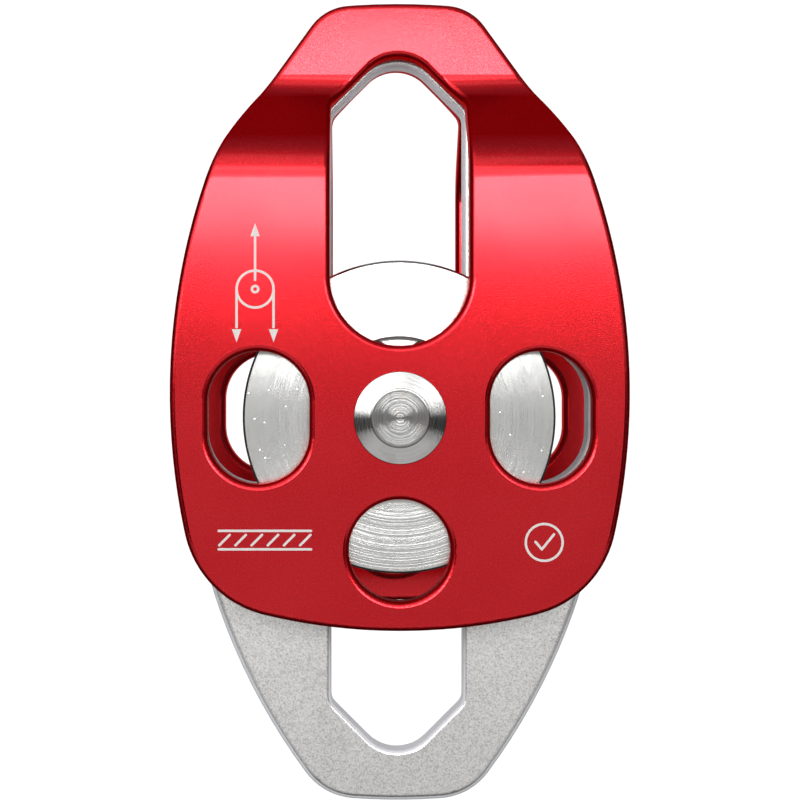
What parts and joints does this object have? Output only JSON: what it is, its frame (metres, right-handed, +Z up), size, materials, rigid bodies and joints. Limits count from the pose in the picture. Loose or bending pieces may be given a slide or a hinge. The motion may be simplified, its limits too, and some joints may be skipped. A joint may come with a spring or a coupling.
{
  "type": "rope pulley",
  "caption": "Double rope pulley with swinging side plates on a fixed centre plate, hung from a connector slot and with a becket slot below.",
  "frame": {"origin": "seat of the centre plate's upper slot, midway through its thickness, where the connector bears; the pulley hangs below it and the axle is 64.5 mm down", "axes": "+Z up, from the axle to the connector slot; +Y along the axle, from the front side plate to the rear one; +X across the plates, to the right seen from the front"},
  "size_m": [0.08, 0.0578, 0.1464],
  "materials": {
    "red_anodised_front": "bead-blasted, red anodised",
    "red_anodised_rear": "bead-blasted, red anodised",
    "satin_aluminium": "bead-blasted, clear anodised, tumbled edges",
    "sheave_aluminium": "turned and tumbled",
    "turned_steel": "fine turned",
    "bearing_steel": "ground",
    "black_spring_steel": "phosphated black",
    "seal_rubber": "moulded",
    "cage_polymer": "moulded",
    "bronze": "sintered bronze"
  },
  "bodies": {
    "frame": {"centre_plate": "satin_aluminium", "axle_pin": "turned_steel", "axle_cap": "turned_steel", "front_bush": "bronze", "front_outer_spacer": "bearing_steel", "front_inner_spacer": "bearing_steel", "front_bearing_1_inner_race": "bearing_steel", "front_bearing_2_inner_race": "bearing_steel", "rear_bush": "bronze", "rear_outer_spacer": "bearing_steel", "rear_inner_spacer": "bearing_steel", "rear_bearing_1_inner_race": "bearing_steel", "rear_bearing_2_inner_race": "bearing_steel"},
    "front_side_plate": {"front_side_plate": "red_anodised_front"},
    "rear_side_plate": {"rear_side_plate": "red_anodised_rear"},
    "front_sheave": {"front_sheave": "sheave_aluminium", "front_outer_snap_ring": "black_spring_steel", "front_inner_snap_ring": "black_spring_steel", "front_bearing_1_outer_race": "bearing_steel", "front_bearing_1_seals": "seal_rubber", "front_bearing_2_outer_race": "bearing_steel", "front_bearing_2_seals": "seal_rubber"},
    "rear_sheave": {"rear_sheave": "sheave_aluminium", "rear_outer_snap_ring": "black_spring_steel", "rear_inner_snap_ring": "black_spring_steel", "rear_bearing_1_outer_race": "bearing_steel", "rear_bearing_1_seals": "seal_rubber", "rear_bearing_2_outer_race": "bearing_steel", "rear_bearing_2_seals": "seal_rubber"},
    "front_ball_sets": {"front_bearing_1_balls": "bearing_steel", "front_bearing_1_cage": "cage_polymer", "front_bearing_2_balls": "bearing_steel", "front_bearing_2_cage": "cage_polymer"},
    "rear_ball_sets": {"rear_bearing_1_balls": "bearing_steel", "rear_bearing_1_cage": "cage_polymer", "rear_bearing_2_balls": "bearing_steel", "rear_bearing_2_cage": "cage_polymer"}
  },
  "joints": [
    {"name": "front_plate_swing", "type": "hinge", "parent": "frame", "child": "front_side_plate", "pos_m": [0, 0, -0.0645], "axis": [0, 1, 0], "continuous": true},
    {"name": "rear_plate_swing", "type": "hinge", "parent": "frame", "child": "rear_side_plate", "pos_m": [0, 0, -0.0645], "axis": [0, 1, 0], "continuous": true},
    {"name": "front_sheave_spin", "type": "hinge", "parent": "frame", "child": "front_sheave", "pos_m": [0, 0, -0.0645], "axis": [0, 1, 0], "continuous": true},
    {"name": "rear_sheave_spin", "type": "hinge", "parent": "frame", "child": "rear_sheave", "pos_m": [0, 0, -0.0645], "axis": [0, 1, 0], "continuous": true},
    {"name": "front_ball_orbit", "type": "hinge", "parent": "frame", "child": "front_ball_sets", "pos_m": [0, 0, -0.0645], "axis": [0, 1, 0], "continuous": true},
    {"name": "rear_ball_orbit", "type": "hinge", "parent": "frame", "child": "rear_ball_sets", "pos_m": [0, 0, -0.0645], "axis": [0, 1, 0], "continuous": true}
  ],
  "couplings": [
    {"joint": "front_ball_orbit", "follows": "front_sheave_spin", "ratio": 0.5992},
    {"joint": "rear_ball_orbit", "follows": "rear_sheave_spin", "ratio": 0.5992}
  ]
}
